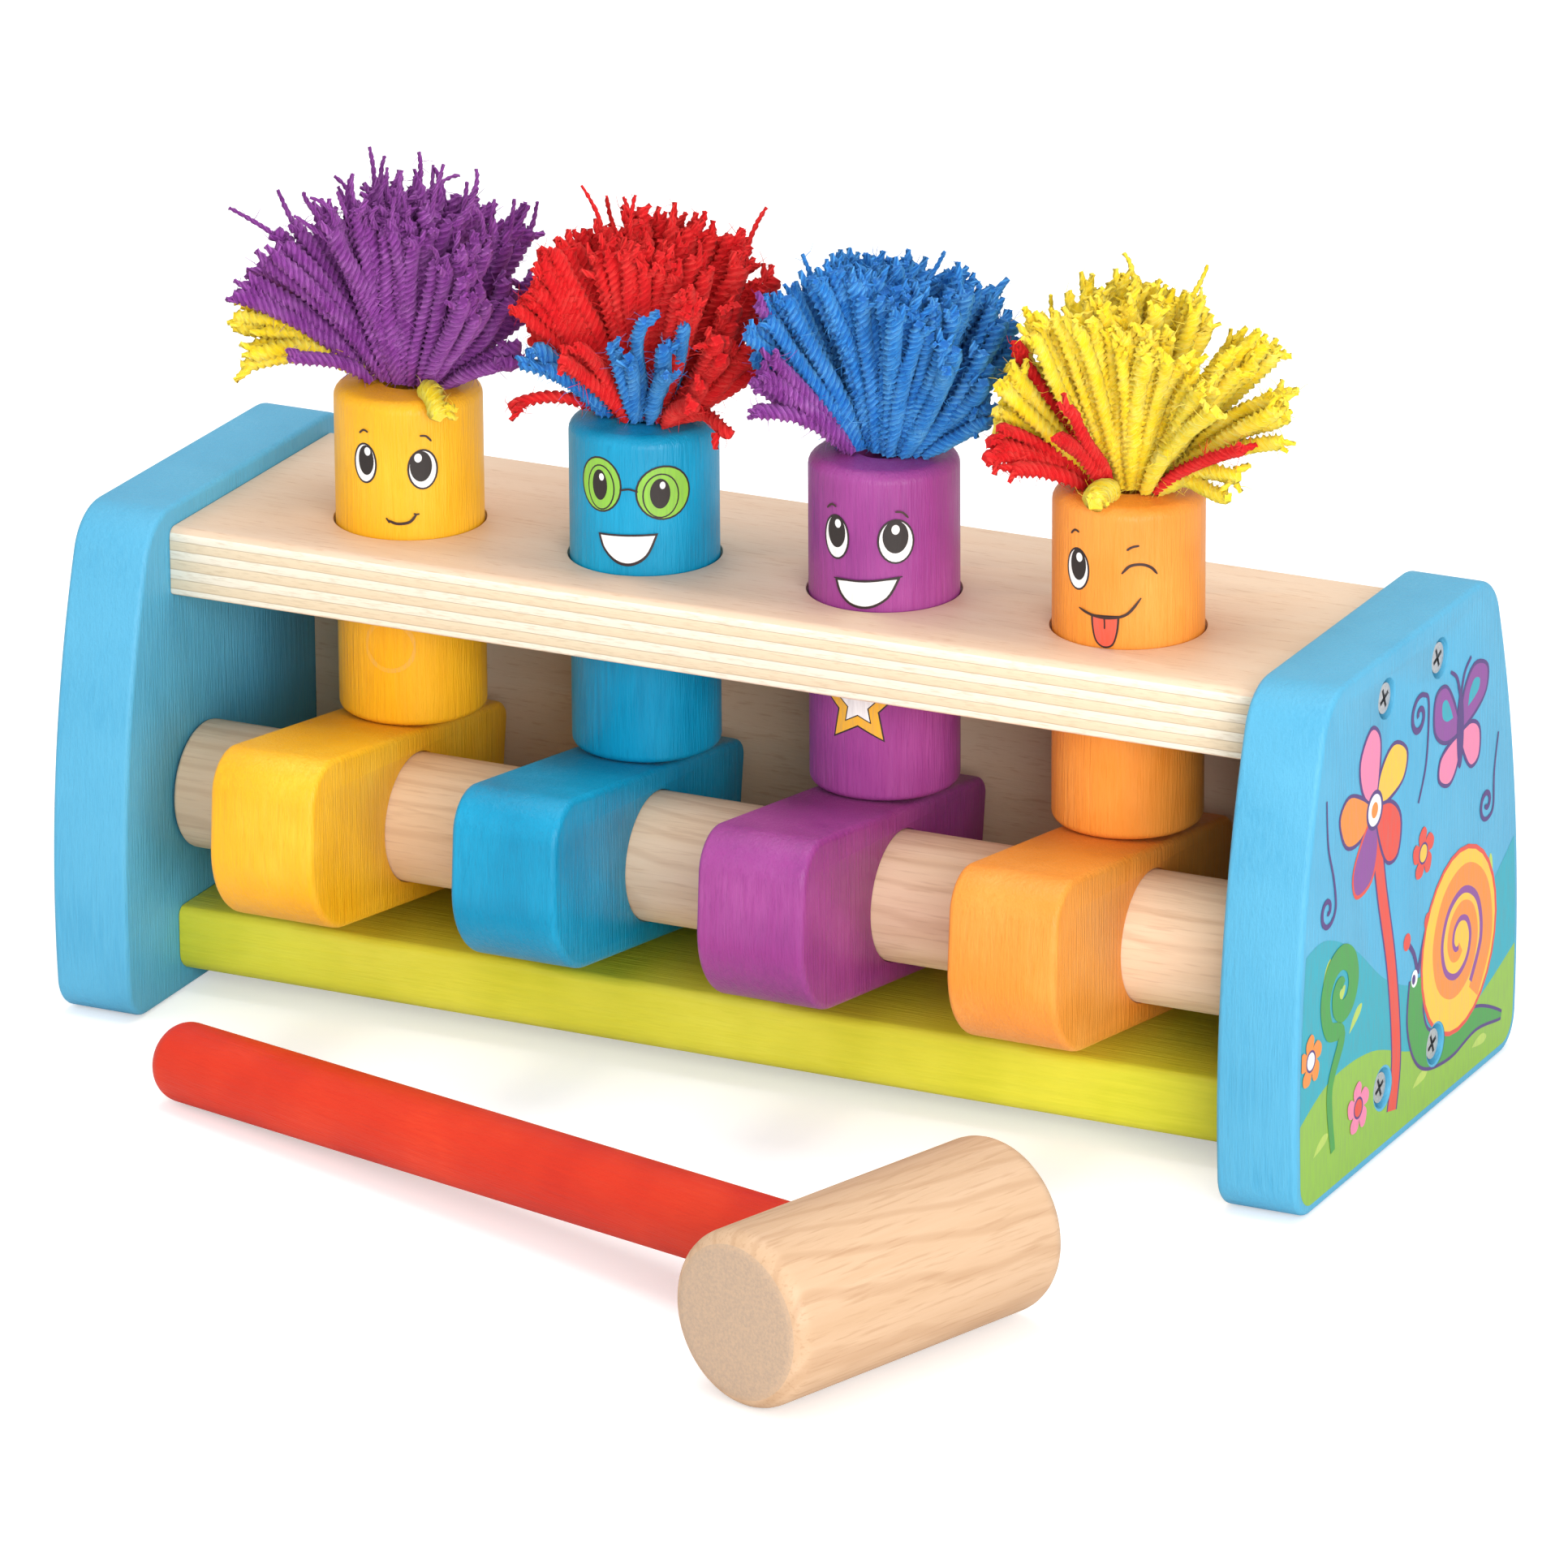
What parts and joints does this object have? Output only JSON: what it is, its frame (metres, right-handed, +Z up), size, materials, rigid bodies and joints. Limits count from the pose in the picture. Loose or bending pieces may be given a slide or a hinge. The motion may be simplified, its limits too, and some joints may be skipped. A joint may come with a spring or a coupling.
{
  "type": "hammer bench toy",
  "caption": "Wooden hammer bench: yarn-haired round pegs stand on rockers on a dowel between bowed end plates, with a loose mallet; striking a rocker's nose lifts its peg.",
  "frame": {"origin": "on the floor, at the middle of the rectangle that the bench and the hammer in front of it cover", "axes": "+X along the bench to its right, as seen from the front; +Y to its back; +Z up"},
  "size_m": [0.29, 0.2576, 0.1777],
  "materials": {
    "sky_blue_paint": "brushed water-based paint on beech board",
    "birch_plywood": "clear satin lacquer",
    "lime_paint": "brushed water-based paint",
    "beech": "sanded, clear matt lacquer",
    "zinc_screw": "bright zinc",
    "red_paint": "dipped gloss paint",
    "yellow_paint": "dipped gloss paint",
    "blue_paint": "dipped gloss paint",
    "purple_paint": "dipped gloss paint",
    "orange_paint": "dipped gloss paint",
    "purple_yarn": "acrylic yarn",
    "red_yarn": "acrylic yarn",
    "blue_yarn": "acrylic yarn",
    "yellow_yarn": "acrylic yarn"
  },
  "bodies": {
    "bench": {"left_end_plate": "sky_blue_paint", "right_end_plate": "sky_blue_paint", "top_board": "birch_plywood", "base_board": "lime_paint", "rear_board": "birch_plywood", "axle_dowel": "beech", "top_board_screws": "zinc_screw", "base_board_screws": "zinc_screw"},
    "yellow_rocker": {"rocker_yellow": "yellow_paint"},
    "yellow_peg": {"peg_yellow": "yellow_paint", "hair_purple": "purple_yarn"},
    "blue_rocker": {"rocker_blue": "blue_paint"},
    "blue_peg": {"peg_blue": "blue_paint", "hair_red": "red_yarn"},
    "purple_rocker": {"rocker_purple": "purple_paint"},
    "purple_peg": {"peg_purple": "purple_paint", "hair_blue": "blue_yarn"},
    "orange_rocker": {"rocker_orange": "orange_paint"},
    "orange_peg": {"peg_orange": "orange_paint", "hair_yellow": "yellow_yarn"},
    "hammer": {"hammer_head": "beech", "hammer_handle": "red_paint"}
  },
  "joints": [
    {"name": "yellow_rocker_tilt", "type": "hinge", "parent": "bench", "child": "yellow_rocker", "pos_m": [0, 0.0454, 0.0443], "axis": [1, 0, 0], "range_deg": [0, 28.5]},
    {"name": "yellow_peg_lift", "type": "slide", "parent": "bench", "child": "yellow_peg", "axis": [0, 0, 1], "range_m": [0, 0.0122]},
    {"name": "blue_rocker_tilt", "type": "hinge", "parent": "bench", "child": "blue_rocker", "pos_m": [0, 0.0454, 0.0443], "axis": [1, 0, 0], "range_deg": [0, 28.5]},
    {"name": "blue_peg_lift", "type": "slide", "parent": "bench", "child": "blue_peg", "axis": [0, 0, 1], "range_m": [0, 0.0122]},
    {"name": "purple_rocker_tilt", "type": "hinge", "parent": "bench", "child": "purple_rocker", "pos_m": [0, 0.0454, 0.0443], "axis": [1, 0, 0], "range_deg": [0, 28.5]},
    {"name": "purple_peg_lift", "type": "slide", "parent": "bench", "child": "purple_peg", "axis": [0, 0, 1], "range_m": [0, 0.0122]},
    {"name": "orange_rocker_tilt", "type": "hinge", "parent": "bench", "child": "orange_rocker", "pos_m": [0, 0.0454, 0.0443], "axis": [1, 0, 0], "range_deg": [0, 28.5]},
    {"name": "orange_peg_lift", "type": "slide", "parent": "bench", "child": "orange_peg", "axis": [0, 0, 1], "range_m": [0, 0.0122]},
    {"name": "hammer_pick_up", "type": "slide", "parent": "bench", "child": "hammer", "axis": [0, 0, 1], "range_m": [0, 0.2]}
  ],
  "couplings": [
    {"joint": "yellow_peg_lift", "follows": "yellow_rocker_tilt", "m_per_rad": 0.02433},
    {"joint": "blue_peg_lift", "follows": "blue_rocker_tilt", "m_per_rad": 0.02433},
    {"joint": "purple_peg_lift", "follows": "purple_rocker_tilt", "m_per_rad": 0.02433},
    {"joint": "orange_peg_lift", "follows": "orange_rocker_tilt", "m_per_rad": 0.02433}
  ]
}
